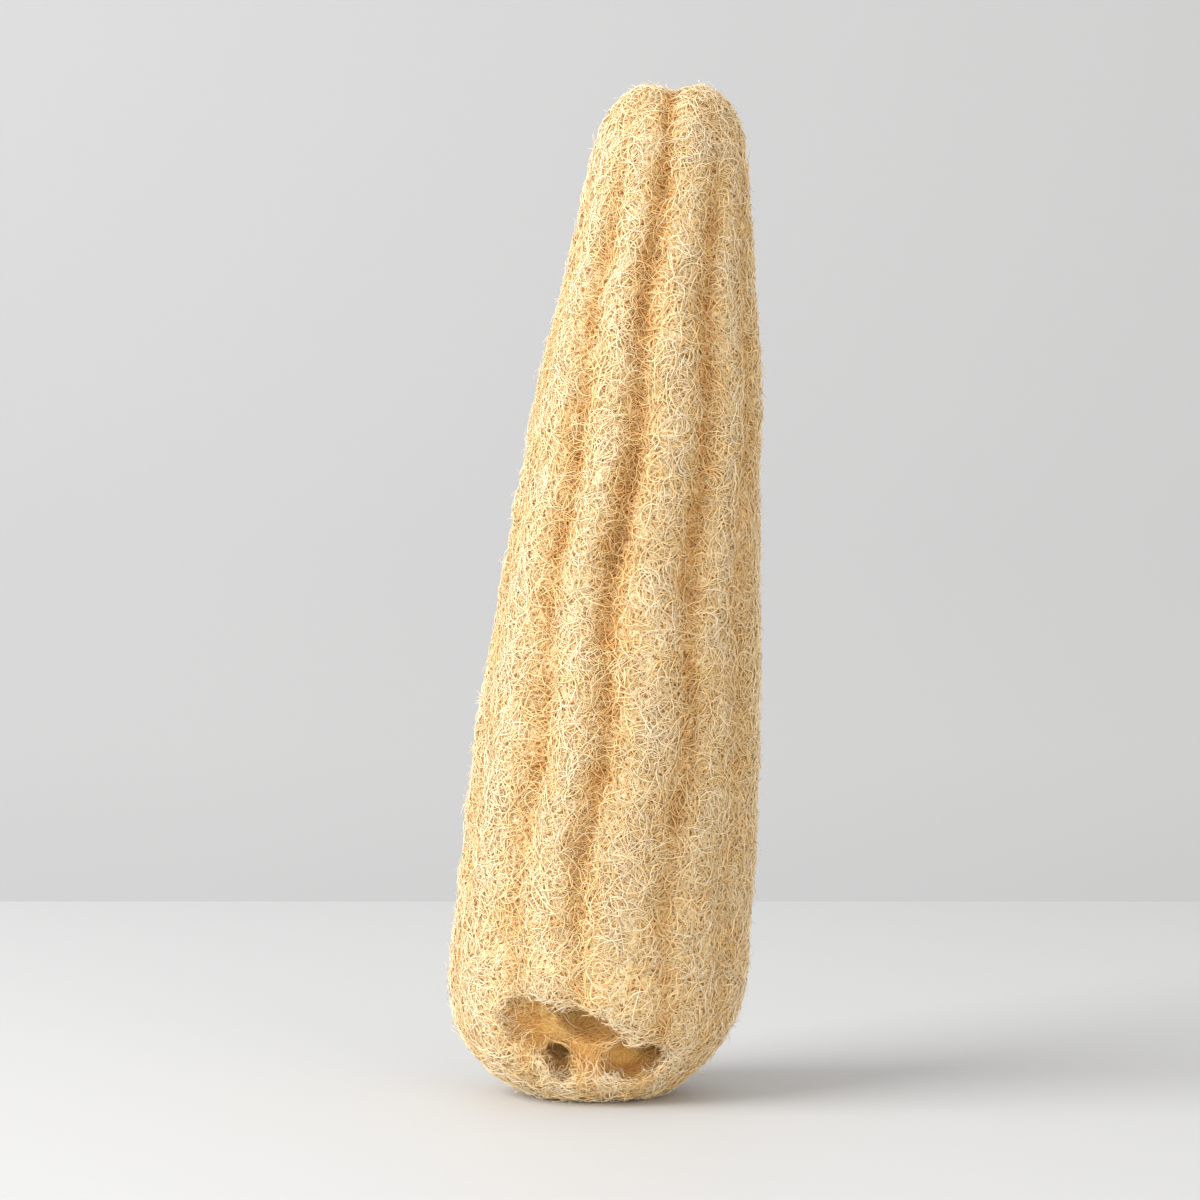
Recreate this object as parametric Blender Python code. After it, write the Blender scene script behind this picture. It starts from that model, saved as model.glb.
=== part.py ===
# Natural loofah sponge: the dried fibre skeleton of one whole fruit, standing on its blunt lower end.
# Metres, +Z up. The torn mouth of the three seed channels faces -Y.
# The origin is the middle of the bounding box, on the surface that the sponge stands on.

import math
import random

import bmesh
import bpy
import numpy as np
from mathutils import Vector, noise

# Body outline: height above the surface, and the half width that the ridges reach there
HEIGHT = 0.300
OUTLINE_HEIGHTS = (-0.010, 0.040, 0.060, 0.095, 0.140, 0.180, 0.222, 0.250, 0.270, 0.310)
OUTLINE_HALF_WIDTHS = (0.0440, 0.0446, 0.0443, 0.0431, 0.0400, 0.0364, 0.0320, 0.0279, 0.0248, 0.0234)
DEPTH_TO_WIDTH = 0.95

# Centre line: how far the middle of each slice lies to the right, and how far the top leans back
LEAN_HEIGHTS = (-0.010, 0.010, 0.030, 0.060, 0.108, 0.180, 0.250, 0.310)
LEAN_RIGHT = (-0.0020, -0.0038, -0.0028, -0.0008, 0.0036, 0.0094, 0.0164, 0.0205)
LEAN_BACK = 0.0045

# Rounded ends: superellipses. The lower one would reach under the surface, which cuts it flat
FOOT_TOP = 0.034
FOOT_HEIGHT = 0.0385
FOOT_POWER = 2.0
CROWN_BOTTOM = 0.262
CROWN_POWER = 3.0

# Ten furrows: angle from the front at the top and at the foot, towards the right, and depth
FURROWS = (
    (-5, -10, 0.0056),
    (35, 25, 0.0046),
    (64, 54, 0.0026),
    (100, 92, 0.0032),
    (137, 130, 0.0036),
    (173, 170, 0.0030),
    (209, 212, 0.0038),
    (245, 250, 0.0030),
    (283, 288, 0.0024),
    (320, 326, 0.0042),
)
FURROW_SHARPNESS = 2.4
FURROW_WANDER_DEG = 2.5
FURROW_WANDER_LENGTH = 0.085
SMOOTH_FOOT_HEIGHT = 0.050
UNEVENNESS = 0.0011
UNEVENNESS_LENGTH = 0.045

# Raised net: six-sided meshes between crests, larger than the real ones, smaller towards the ends
MESHES_ROUND = 28
MESH_STRETCH = 1.08
LOWEST_RING = -0.0032
CROWN_EYE_RADIUS = 0.0045
CROWN_EYE_DEPTH = 0.0016
MESH_JITTER = 0.20
MESH_DEPTH_SHARE = 0.45
NET_SEED = 11

# Torn mouth: a ragged bowl in the foot's front wall, higher at its left end
BOWL_CENTRE = (-0.0065, -0.0405, 0.0205)
BOWL_HALF_SIZE = (0.0230, 0.0145, 0.0120)
BOWL_TILT_DEG = 18
BOWL_RAGGEDNESS = 0.10
BOWL_PIT_DEPTH = 0.0012

# Seed channels, from the mouth to the blind end: a place on the centre line, and the half width there
CHANNELS = {
    "front": (
        ((-0.0050, -0.036, 0.0235), 0.0062),
        ((-0.0060, -0.0275, 0.0285), 0.0080),
        ((-0.0065, -0.0212, 0.0450), 0.0104),
        ((-0.0045, -0.0190, 0.0610), 0.0100),
        ((-0.0025, -0.018, 0.0740), 0.0060),
    ),
    "front_window": (
        ((-0.0205, -0.036, 0.0290), 0.0046),
        ((-0.0190, -0.028, 0.0320), 0.0048),
        ((-0.0130, -0.020, 0.0440), 0.0055),
        ((-0.0060, -0.018, 0.0620), 0.0050),
    ),
    "right": (
        ((0.0070, -0.036, 0.0155), 0.0064),
        ((0.0090, -0.026, 0.0175), 0.0062),
        ((0.0150, -0.008, 0.0260), 0.0078),
        ((0.0160, 0.005, 0.0430), 0.0090),
        ((0.0162, 0.008, 0.0580), 0.0060),
    ),
    "left": (
        ((-0.0130, -0.036, 0.0135), 0.0032),
        ((-0.0135, -0.026, 0.0145), 0.0034),
        ((-0.0170, -0.008, 0.0240), 0.0060),
        ((-0.0160, 0.006, 0.0410), 0.0088),
        ((-0.0145, 0.009, 0.0560), 0.0060),
    ),
}
CHANNEL_SIDES_RESOLUTION = 3
CHANNEL_STEPS = 3

FIBRE_COLOUR = (0.80, 0.60, 0.36, 1.0)
FIBRE_ROUGHNESS = 0.78


def smooth_curve(at, places, values):
    """Values between the given places on one smooth curve, through every one of them."""
    slopes = np.gradient(values, places)
    k = int(np.clip(np.searchsorted(places, at) - 1, 0, len(places) - 2))
    span = places[k + 1] - places[k]
    t = min(max((at - places[k]) / span, 0.0), 1.0)
    start, end = values[k], values[k + 1]
    a = slopes[k] * span - (end - start)
    b = (end - start) - slopes[k + 1] * span
    return (1 - t) * start + t * end + t * (1 - t) * (a * (1 - t) + b * t)


def ridge_radius(z):
    """Half width of the body at a height, out to the crests of its ridges."""
    width = smooth_curve(z, OUTLINE_HEIGHTS, OUTLINE_HALF_WIDTHS)
    if z < FOOT_TOP:
        share = min((FOOT_TOP - z) / FOOT_HEIGHT, 1.0)
        width *= (1 - share**FOOT_POWER) ** (1 / FOOT_POWER)
    if z > CROWN_BOTTOM:
        share = min((z - CROWN_BOTTOM) / (HEIGHT - CROWN_BOTTOM), 1.0)
        width *= (1 - share**CROWN_POWER) ** (1 / CROWN_POWER)
    return width


def slice_centre(z):
    return Vector(
        (
            smooth_curve(z, LEAN_HEIGHTS, LEAN_RIGHT),
            LEAN_BACK * max(z / HEIGHT, 0.0) ** 2,
        )
    )


def furrow_depth(angle, z):
    """How deep the nearest furrows cut at this angle (degrees from the front) and height."""
    share = min(max(z / HEIGHT, 0.0), 1.0)
    wander = FURROW_WANDER_DEG * math.sin(z / FURROW_WANDER_LENGTH * math.tau)
    found = sorted((low + (high - low) * share + wander, depth) for high, low, depth in FURROWS)
    found = [(found[-1][0] - 360, found[-1][1])] + found + [(found[0][0] + 360, found[0][1])]
    angle = (angle - found[0][0]) % 360 + found[0][0]
    for (start, start_depth), (end, end_depth) in zip(found, found[1:]):
        if start <= angle <= end:
            t = (angle - start) / (end - start)
            depth = start_depth + (end_depth - start_depth) * t
            return depth * abs(2 * t - 1) ** FURROW_SHARPNESS
    return 0.0


def body_point(angle, z):
    """Point of the crest surface at an angle (degrees from the front, to the right) and height."""
    radius = ridge_radius(z)
    fade = min(radius / ridge_radius(FOOT_TOP), 1.0) ** 0.5
    if z < SMOOTH_FOOT_HEIGHT:
        fade *= max(z / SMOOTH_FOOT_HEIGHT, 0.0)
    radius -= furrow_depth(angle, z) * fade
    turn = math.radians(angle)
    across = Vector((math.sin(turn), -math.cos(turn) * DEPTH_TO_WIDTH))
    centre = slice_centre(z)
    point = Vector((centre.x + across.x * radius, centre.y + across.y * radius, z))
    swell = noise.noise(point / UNEVENNESS_LENGTH) * UNEVENNESS * fade
    return point + Vector((across.x, across.y, 0)) * swell


def ring_heights(rows):
    """Heights of the net's rings, spaced so that meshes keep their shape as the body narrows."""
    samples = 600
    bottom, top = FOOT_TOP - FOOT_HEIGHT, HEIGHT
    turns = np.linspace(0, math.pi, samples)
    z = bottom + (top - bottom) * (1 - np.cos(turns)) / 2
    radius = np.array([ridge_radius(h) for h in z])
    keep = (z >= LOWEST_RING) & ((z < CROWN_BOTTOM) | (radius >= CROWN_EYE_RADIUS))
    z, radius = z[keep], radius[keep]
    steps = np.hypot(np.diff(z), np.diff(radius)) / ((radius[1:] + radius[:-1]) / 2)
    along = np.concatenate([[0], np.cumsum(steps)])
    if rows is None:
        pitch = math.tau / MESHES_ROUND * math.sqrt(3) / 2 * MESH_STRETCH
        rows = round(along[-1] / pitch)
    return rows, along, z


def netted_body():
    """The body as one closed mesh: a cylinder's grid turned into six-sided meshes, each sunk to a pit."""
    rows, along, heights = ring_heights(None)
    columns = 2 * MESHES_ROUND
    bm = bmesh.new()
    bmesh.ops.create_cone(bm, cap_ends=False, segments=columns, radius1=1, radius2=1, depth=2)
    uprights = [e for e in bm.edges if abs(e.verts[0].co.z - e.verts[1].co.z) > 1]
    bmesh.ops.subdivide_edges(bm, edges=uprights, cuts=rows - 1, use_grid_fill=True)

    # Each vertex's column and row in the grid
    place = {}
    for v in bm.verts:
        column = round(math.atan2(v.co.y, v.co.x) / math.tau * columns) % columns
        place[v] = (column, round((v.co.z + 1) / 2 * rows))
    crossings = [
        e
        for e in bm.edges
        if place[e.verts[0]][0] == place[e.verts[1]][0]
        and (place[e.verts[0]][0] + min(place[v][1] for v in e.verts)) % 2
    ]
    bmesh.ops.dissolve_edges(bm, edges=crossings, use_verts=False)

    # Onto the loofah's own surface, with the meshes zigzagged into hexagons and made uneven
    dice = random.Random(NET_SEED)
    for v in sorted(bm.verts, key=lambda v: place[v]):
        column, row = place[v]
        aside = dice.uniform(-1, 1) * MESH_JITTER
        up = dice.uniform(-1, 1) * MESH_JITTER
        if 0 < row < rows:
            up += 1 / 6 if (column + row) % 2 == 0 else -1 / 6
        else:
            up = aside = 0.0
        z = np.interp((row + up) / rows * along[-1], along, heights)
        v.co = body_point((column + aside) / columns * 360, float(z))

    bm.normal_update()
    meshes = list(bm.faces)
    bmesh.ops.poke(
        bm, faces=meshes, offset=-MESH_DEPTH_SHARE, center_mode="MEAN", use_relative_offset=True
    )
    rims = [e for e in bm.edges if e.is_boundary]
    ends = bmesh.ops.holes_fill(bm, edges=rims, sides=columns)["faces"]
    bmesh.ops.recalc_face_normals(bm, faces=bm.faces)
    crown = max(ends, key=lambda f: f.calc_center_median().z)
    bmesh.ops.poke(bm, faces=[crown], offset=-CROWN_EYE_DEPTH, center_mode="MEAN")

    # The surface that it stands on cuts a flat spot
    cut = bmesh.ops.bisect_plane(
        bm,
        geom=bm.verts[:] + bm.edges[:] + bm.faces[:],
        dist=1e-6,
        plane_co=(0, 0, 0),
        plane_no=(0, 0, 1),
        clear_inner=True,
    )
    rim = [e for e in cut["geom_cut"] if isinstance(e, bmesh.types.BMEdge)]
    bmesh.ops.contextual_create(bm, geom=rim)
    bmesh.ops.recalc_face_normals(bm, faces=bm.faces)

    # The origin is the middle of the box in X and Y
    for axis in (0, 1):
        places = [v.co[axis] for v in bm.verts]
        shift = Vector((0, 0, 0))
        shift[axis] = -(min(places) + max(places)) / 2
        bmesh.ops.translate(bm, verts=bm.verts, vec=shift)
    return bm


def object_of(name, bm, collection):
    mesh = bpy.data.meshes.new(name)
    bm.to_mesh(mesh)
    bm.free()
    made = bpy.data.objects.new(name, mesh)
    collection.objects.link(made)
    return made


def bowl_cutter(collection):
    """The ragged bowl left by the torn wall: an uneven egg whose points leave pits in the wall."""
    bm = bmesh.new()
    bmesh.ops.create_icosphere(bm, subdivisions=3, radius=1)
    for v in bm.verts:
        v.co *= 1 + noise.noise(v.co * 2.6) * BOWL_RAGGEDNESS * 2
    bmesh.ops.scale(bm, vec=BOWL_HALF_SIZE, verts=bm.verts)
    bm.normal_update()
    bmesh.ops.poke(bm, faces=bm.faces[:], offset=BOWL_PIT_DEPTH, center_mode="MEAN")
    cutter = object_of("bowl_cutter", bm, collection)
    cutter.rotation_euler = (0, math.radians(BOWL_TILT_DEG), 0)
    cutter.location = BOWL_CENTRE
    return cutter


def channel_cutter(name, stations, collection):
    """One seed channel: a tube whose radius follows its stations, closed at both ends."""
    curve = bpy.data.curves.new(name + "_channel", "CURVE")
    curve.dimensions = "3D"
    curve.bevel_depth = 1.0
    curve.bevel_resolution = CHANNEL_SIDES_RESOLUTION
    curve.resolution_u = CHANNEL_STEPS
    curve.use_fill_caps = True
    spline = curve.splines.new("NURBS")
    spline.points.add(len(stations) - 1)
    for point, (place, radius) in zip(spline.points, stations):
        point.co = (*place, 1)
        point.radius = radius
    spline.use_endpoint_u = True
    spline.order_u = 4
    guide = bpy.data.objects.new(name + "_channel_guide", curve)
    collection.objects.link(guide)
    bpy.context.view_layer.update()
    graph = bpy.context.evaluated_depsgraph_get()
    mesh = bpy.data.meshes.new_from_object(guide.evaluated_get(graph))
    bpy.data.objects.remove(guide)
    bm = bmesh.new()
    bm.from_mesh(mesh)
    bmesh.ops.remove_doubles(bm, verts=bm.verts, dist=1e-5)
    bmesh.ops.recalc_face_normals(bm, faces=bm.faces)
    return object_of(name + "_channel_cutter", bm, collection)


def cut_out(sponge, tools):
    """Cuts the mouth and the channels, and drops the crumbs that come loose between them."""
    for tool in tools:
        cut = sponge.modifiers.new(tool.name, "BOOLEAN")
        cut.operation = "DIFFERENCE"
        cut.object = tool
    bpy.context.view_layer.update()
    graph = bpy.context.evaluated_depsgraph_get()
    bm = bmesh.new()
    bm.from_mesh(bpy.data.meshes.new_from_object(sponge.evaluated_get(graph)))
    sponge.modifiers.clear()

    loose = set(bm.faces)
    bodies = []
    while loose:
        body = {loose.pop()}
        front = list(body)
        while front:
            near = {g for e in front.pop().edges for g in e.link_faces} - body
            body |= near
            front += near
        loose -= body
        bodies.append(body)
    sponge_body = max(bodies, key=len)
    crumbs = [f for f in bm.faces if f not in sponge_body]
    bmesh.ops.delete(bm, geom=crumbs, context="FACES")
    bm.to_mesh(sponge.data)
    bm.free()


def fibre_material():
    material = bpy.data.materials.new("dried_fibre")
    material.use_nodes = True
    shader = material.node_tree.nodes["Principled BSDF"]
    shader.inputs["Base Color"].default_value = FIBRE_COLOUR
    shader.inputs["Roughness"].default_value = FIBRE_ROUGHNESS
    shader.inputs["Metallic"].default_value = 0.0
    return material


def main():
    for old in list(bpy.data.objects):
        bpy.data.objects.remove(old)
    parts = bpy.data.collections.new("natural_loofah_sponge")
    cutters = bpy.data.collections.new("cutters")
    for collection in (parts, cutters):
        bpy.context.scene.collection.children.link(collection)

    sponge = object_of("loofah_sponge", netted_body(), parts)
    sponge.data.materials.append(fibre_material())

    tools = [bowl_cutter(cutters)]
    tools += [channel_cutter(name, stations, cutters) for name, stations in CHANNELS.items()]
    for tool in tools:
        tool.hide_render = True
        tool.display_type = "WIRE"
    cut_out(sponge, tools)


main()
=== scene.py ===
import math
import random

import bmesh
import bpy
import numpy as np
from mathutils import Matrix, Vector, noise
from mathutils.bvhtree import BVHTree


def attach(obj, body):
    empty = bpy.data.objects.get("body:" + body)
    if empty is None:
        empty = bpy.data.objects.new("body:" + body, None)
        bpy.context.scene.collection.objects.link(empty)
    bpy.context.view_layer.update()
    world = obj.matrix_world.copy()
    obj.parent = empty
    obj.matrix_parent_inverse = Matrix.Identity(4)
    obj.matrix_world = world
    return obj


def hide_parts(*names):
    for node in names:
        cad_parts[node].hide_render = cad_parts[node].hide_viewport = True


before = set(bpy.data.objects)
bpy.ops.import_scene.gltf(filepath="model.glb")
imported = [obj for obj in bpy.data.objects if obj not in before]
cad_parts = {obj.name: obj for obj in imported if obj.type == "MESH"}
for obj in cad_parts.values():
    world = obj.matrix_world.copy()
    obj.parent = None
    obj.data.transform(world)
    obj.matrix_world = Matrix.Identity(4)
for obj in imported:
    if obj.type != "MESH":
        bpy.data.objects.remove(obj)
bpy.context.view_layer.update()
print("frame loaded")

# The sponge's smooth form, out to the crests of its ridges. The outline, the lean and the furrows' lines are
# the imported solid's; the furrows' swell and fading, the lumps, the dip and the trim are added here
spongeForm = {
    "height": 0.300,
    "outlineHeights": (-0.010, 0.040, 0.060, 0.095, 0.140, 0.180, 0.222, 0.250, 0.270, 0.310),
    "outlineHalfWidths": (0.0440, 0.0446, 0.0443, 0.0431, 0.0400, 0.0364, 0.0320, 0.0279, 0.0248, 0.0234),
    "depthToWidth": 0.95,
    "leanHeights": (-0.010, 0.010, 0.030, 0.060, 0.108, 0.180, 0.250, 0.310),
    "leanRight": (-0.0020, -0.0038, -0.0028, -0.0008, 0.0036, 0.0094, 0.0164, 0.0205),
    "leanBack": 0.0045,
    "footTop": 0.034,
    "footHeight": 0.0385,
    "footPower": 2.0,
    "crownBottom": 0.262,
    "crownPower": 3.0,
    # angle from the front at the top and at the foot, towards the right, and depth
    "furrows": (
        (-5, -10, 0.0056),
        (35, 25, 0.0046),
        (64, 54, 0.0026),
        (100, 92, 0.0032),
        (137, 130, 0.0036),
        (173, 170, 0.0030),
        (209, 212, 0.0038),
        (245, 250, 0.0030),
        (283, 288, 0.0024),
        (320, 326, 0.0042),
    ),
    "furrowSharpness": 2.4,
    "crease": 0.28,  # a sharper fold along each furrow's bottom, as a share of its depth
    "creaseSharpness": 8,
    "furrowSwell": 0.30,  # each deepens and fades along its length
    "furrowSwellWaves": ((0.058, 2.1), (0.034, 1.3)),  # length, and shift from one furrow to the next
    "furrowFadeAtCrown": 0.7,  # all but the first
    "furrowFadeAtFoot": 0.42,
    "crownFade": (0.245, 0.035),  # the height where it starts, and over what height it grows
    "footFade": (0.16, 0.09),
    "furrowEasing": 0.5,  # how late the furrows run out where the form narrows
    "furrowWander": 2.5,
    "furrowWanderLength": 0.085,
    "smoothFootHeight": 0.050,
    "unevenness": 0.0011,
    "unevennessLength": 0.045,
    "lumps": ((0.0130, 0.0007), (0.0060, 0.0003)),  # length and height of the smaller swellings
    "lumpShift": 7,  # so that they don't follow the larger unevenness
    "crownDip": 0.0026,  # between its two lobes
    "crownDipWidth": 0.0046,
    "crownDipFade": (0.284, 0.014),
    "footTrim": 0.0008,  # the foot's right side is drawn in
    "footTrimHeight": 0.010,
    "footTrimReach": 0.014,
    "footTrimFullRadius": 0.03,
    "columns": 150,
    "rows": 260,
    "rowTurn": (0.02, 0.985),  # where the rows start, and their share of the half turn from foot to crown
    "voxel": 0.0014,
    "soften": 0.5,
}

# centre, half size, tilt about the depth axis, and raggedness of each hollow torn out of the front
tornHollows = {
    "mouth": ((-0.0095, -0.0395, 0.0180), (0.0220, 0.0135, 0.0122), 18, 0.12),
    "leftSlope": ((-0.0225, -0.0390, 0.0240), (0.0135, 0.0120, 0.0100), 22, 0.08),
    "arch": ((-0.0042, -0.0290, 0.0242), (0.0086, 0.0085, 0.0054), 14, 0.12),
    "rightSpoon": ((0.0088, -0.0290, 0.0140), (0.0100, 0.0130, 0.0062), -14, 0.10),
    "lowHole": ((-0.0128, -0.0295, 0.0108), (0.0044, 0.0070, 0.0034), 0, 0.14),
}

# scale and height of the uneven edges of those hollows
tornEdge = {"broadScale": 2.6, "broadHeight": 2, "fine": ((9, 0.06), (21, 0.04))}

# places on each channel's centre line, and the half width there
seedChannels = {
    "front": (
        ((-0.0050, -0.036, 0.0235), 0.0062),
        ((-0.0060, -0.0275, 0.0285), 0.0080),
        ((-0.0065, -0.0212, 0.0450), 0.0104),
        ((-0.0045, -0.0190, 0.0610), 0.0100),
        ((-0.0025, -0.018, 0.0740), 0.0060),
    ),
    "frontWindow": (
        ((-0.0185, -0.027, 0.0270), 0.0016),
        ((-0.0175, -0.025, 0.0310), 0.0026),
        ((-0.0130, -0.020, 0.0440), 0.0055),
        ((-0.0060, -0.018, 0.0620), 0.0050),
    ),
    "right": (
        ((0.0085, -0.036, 0.0140), 0.0046),
        ((0.0105, -0.026, 0.0160), 0.0054),
        ((0.0150, -0.008, 0.0260), 0.0078),
        ((0.0160, 0.005, 0.0430), 0.0090),
        ((0.0162, 0.008, 0.0580), 0.0060),
    ),
    "left": (
        ((-0.0130, -0.036, 0.0102), 0.0026),
        ((-0.0135, -0.026, 0.0115), 0.0028),
        ((-0.0170, -0.008, 0.0240), 0.0060),
        ((-0.0160, 0.006, 0.0410), 0.0088),
        ((-0.0145, 0.009, 0.0560), 0.0060),
    ),
}


# The form is worked out for whole arrays of angles and heights at once
def smoothCurve(at, places, values):
    places, values = np.array(places), np.array(values)
    slopes = np.gradient(values, places)
    near = np.clip(np.searchsorted(places, at) - 1, 0, len(places) - 2)
    span = places[near + 1] - places[near]
    rise = values[near + 1] - values[near]
    along = np.clip((at - places[near]) / span, 0, 1)
    startBend = slopes[near] * span - rise
    endBend = rise - slopes[near + 1] * span
    bend = startBend * (1 - along) + endBend * along
    return values[near] + rise * along + along * (1 - along) * bend


def ridgeRadius(z, form=spongeForm):
    width = smoothCurve(z, form["outlineHeights"], form["outlineHalfWidths"])
    low = np.clip((form["footTop"] - z) / form["footHeight"], 0, 1)
    high = np.clip((z - form["crownBottom"]) / (form["height"] - form["crownBottom"]), 0, 1)
    width = width * (1 - low ** form["footPower"]) ** (1 / form["footPower"])
    return width * (1 - high ** form["crownPower"]) ** (1 / form["crownPower"])


def furrowDepth(angle, z, form=spongeForm):
    # 0 on a crest, and the furrow's own depth in metres at its bottom
    share = np.clip(z / form["height"], 0, 1)
    wander = form["furrowWander"] * np.sin(z / form["furrowWanderLength"] * math.tau)
    crownStart, crownReach = form["crownFade"]
    footStart, footReach = form["footFade"]
    crownShare = np.clip((z - crownStart) / crownReach, 0, 1)
    footShare = form["furrowFadeAtFoot"] * np.clip((footStart - z) / footReach, 0, 1)
    top, foot, depth = np.array(form["furrows"] + form["furrows"][:1], float).T
    top[-1] += 360
    foot[-1] += 360
    lines = [low + (high - low) * share + wander for high, low in zip(top, foot)]
    turned = (angle - lines[0]) % 360 + lines[0]
    found = np.zeros(np.shape(turned))
    for k in range(len(depth) - 1):
        between = (turned - lines[k]) / (lines[k + 1] - lines[k])
        side = np.abs(2 * np.clip(between, 0, 1) - 1)
        fold = side ** form["furrowSharpness"] + form["crease"] * side ** form["creaseSharpness"]
        nearest = np.where(between < 0.5, k, (k + 1) % (len(depth) - 1))
        swell = 1
        for length, shift in form["furrowSwellWaves"]:
            swell = swell * np.sin(z / length * math.tau + nearest * shift)
        crownFade = np.where(nearest == 0, 0, form["furrowFadeAtCrown"]) * crownShare
        fold = fold * (1 + form["furrowSwell"] * swell) * (1 - crownFade) * (1 - footShare)
        deep = (depth[k] + (depth[k + 1] - depth[k]) * between) * fold
        found = np.where((between >= 0) & (between <= 1), deep, found)
    return found


def sliceCentre(z, form=spongeForm):
    back = form["leanBack"] * np.clip(z / form["height"], 0, None) ** 2
    return smoothCurve(z, form["leanHeights"], form["leanRight"]), back


def formPoints(angle, z, form=spongeForm):
    radius = ridgeRadius(z)
    fade = np.minimum(radius / ridgeRadius(np.array(form["footTop"])), 1) ** form["furrowEasing"]
    fade = fade * np.clip(z / form["smoothFootHeight"], 0, 1)
    radius = radius - furrowDepth(angle, z) * fade
    turn = np.radians(angle)
    acrossX, acrossY = np.sin(turn), -np.cos(turn) * form["depthToWidth"]
    trim = form["footTrim"] * np.exp(-((z - form["footTrimHeight"]) / form["footTrimReach"]) ** 2)
    radius = radius - trim * np.clip(acrossX, 0, 1) * np.minimum(radius / form["footTrimFullRadius"], 1)
    centreX, centreY = sliceCentre(z)
    points = np.stack([centreX + acrossX * radius, centreY + acrossY * radius, z], 1)
    swell = np.array([noise.noise(Vector(p)) for p in points / form["unevennessLength"]])
    swell *= form["unevenness"] * fade
    for length, height in form["lumps"]:
        lump = np.array([noise.noise(Vector(p)) for p in points / length + form["lumpShift"]])
        swell += lump * height * fade
    dipStart, dipReach = form["crownDipFade"]
    dip = np.exp(-(acrossX * radius / form["crownDipWidth"]) ** 2) * np.clip((z - dipStart) / dipReach, 0, 1)
    points[:, 2] -= form["crownDip"] * dip
    points[:, 0] += acrossX * swell
    points[:, 1] += acrossY * swell
    return points


def toCollection(name, bm):
    mesh = bpy.data.meshes.new(name)
    bm.to_mesh(mesh)
    bm.free()
    made = bpy.data.objects.new(name, mesh)
    bpy.context.scene.collection.objects.link(made)
    return made


def evaluatedMesh(made):
    bpy.context.view_layer.update()
    graph = bpy.context.evaluated_depsgraph_get()
    return bpy.data.meshes.new_from_object(made.evaluated_get(graph))


def wholeForm(form=spongeForm):
    bm = bmesh.new()
    bmesh.ops.create_cone(bm, cap_ends=False, segments=form["columns"], radius1=1, radius2=1, depth=2)
    uprights = [e for e in bm.edges if abs(e.verts[0].co.z - e.verts[1].co.z) > 1]
    bmesh.ops.subdivide_edges(bm, edges=uprights, cuts=form["rows"] - 1, use_grid_fill=True)
    bottom = form["footTop"] - form["footHeight"]
    grid = np.array([v.co[:] for v in bm.verts])
    rowStart, rowSpread = form["rowTurn"]
    turn = (grid[:, 2] + 1) / 2 * math.pi * rowSpread + rowStart
    z = bottom + (form["height"] - bottom) * (1 - np.cos(turn)) / 2
    for v, place in zip(bm.verts, formPoints(np.degrees(np.arctan2(grid[:, 1], grid[:, 0])), z)):
        v.co = place
    rims = [e for e in bm.edges if e.is_boundary]
    bmesh.ops.holes_fill(bm, edges=rims, sides=form["columns"])
    cut = bmesh.ops.bisect_plane(
        bm, geom=bm.verts[:] + bm.edges[:] + bm.faces[:], dist=1e-6,
        plane_co=(0, 0, 0), plane_no=(0, 0, 1), clear_inner=True,
    )
    rim = [e for e in cut["geom_cut"] if isinstance(e, bmesh.types.BMEdge)]
    bmesh.ops.contextual_create(bm, geom=rim)
    bmesh.ops.recalc_face_normals(bm, faces=bm.faces)
    middle = Vector((0, 0, 0))
    for axis in (0, 1):
        places = [v.co[axis] for v in bm.verts]
        middle[axis] = (min(places) + max(places)) / 2
    bmesh.ops.translate(bm, verts=bm.verts, vec=-middle)
    return bm, middle


def hollowCutter(name, centre, halfSize, tilt, raggedness, edge=tornEdge):
    bm = bmesh.new()
    bmesh.ops.create_icosphere(bm, subdivisions=5, radius=1)
    for v in bm.verts:
        v.co *= 1 + noise.noise(v.co * edge["broadScale"]) * raggedness * edge["broadHeight"]
        grow = 1
        for scale, height in edge["fine"]:
            grow += noise.noise(v.co * scale) * height
        v.co *= grow
    bmesh.ops.scale(bm, vec=halfSize, verts=bm.verts)
    bmesh.ops.rotate(bm, matrix=Matrix.Rotation(math.radians(tilt), 3, "Y"), verts=bm.verts)
    bmesh.ops.translate(bm, vec=centre, verts=bm.verts)
    return toCollection(name + "Cutter", bm)


def channelCutter(name, stations):
    curve = bpy.data.curves.new(name, "CURVE")
    curve.dimensions = "3D"
    curve.bevel_depth = 1.0
    curve.bevel_resolution = 6
    curve.resolution_u = 8
    curve.use_fill_caps = True
    spline = curve.splines.new("NURBS")
    spline.points.add(len(stations) - 1)
    for point, (place, radius) in zip(spline.points, stations):
        point.co = (*place, 1)
        point.radius = radius
    spline.use_endpoint_u = True
    spline.order_u = 4
    guide = bpy.data.objects.new(name, curve)
    bpy.context.scene.collection.objects.link(guide)
    bm = bmesh.new()
    bm.from_mesh(evaluatedMesh(guide))
    bpy.data.objects.remove(guide)
    bmesh.ops.remove_doubles(bm, verts=bm.verts, dist=1e-5)
    bmesh.ops.recalc_face_normals(bm, faces=bm.faces)
    return toCollection(name + "Cutter", bm)


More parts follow.
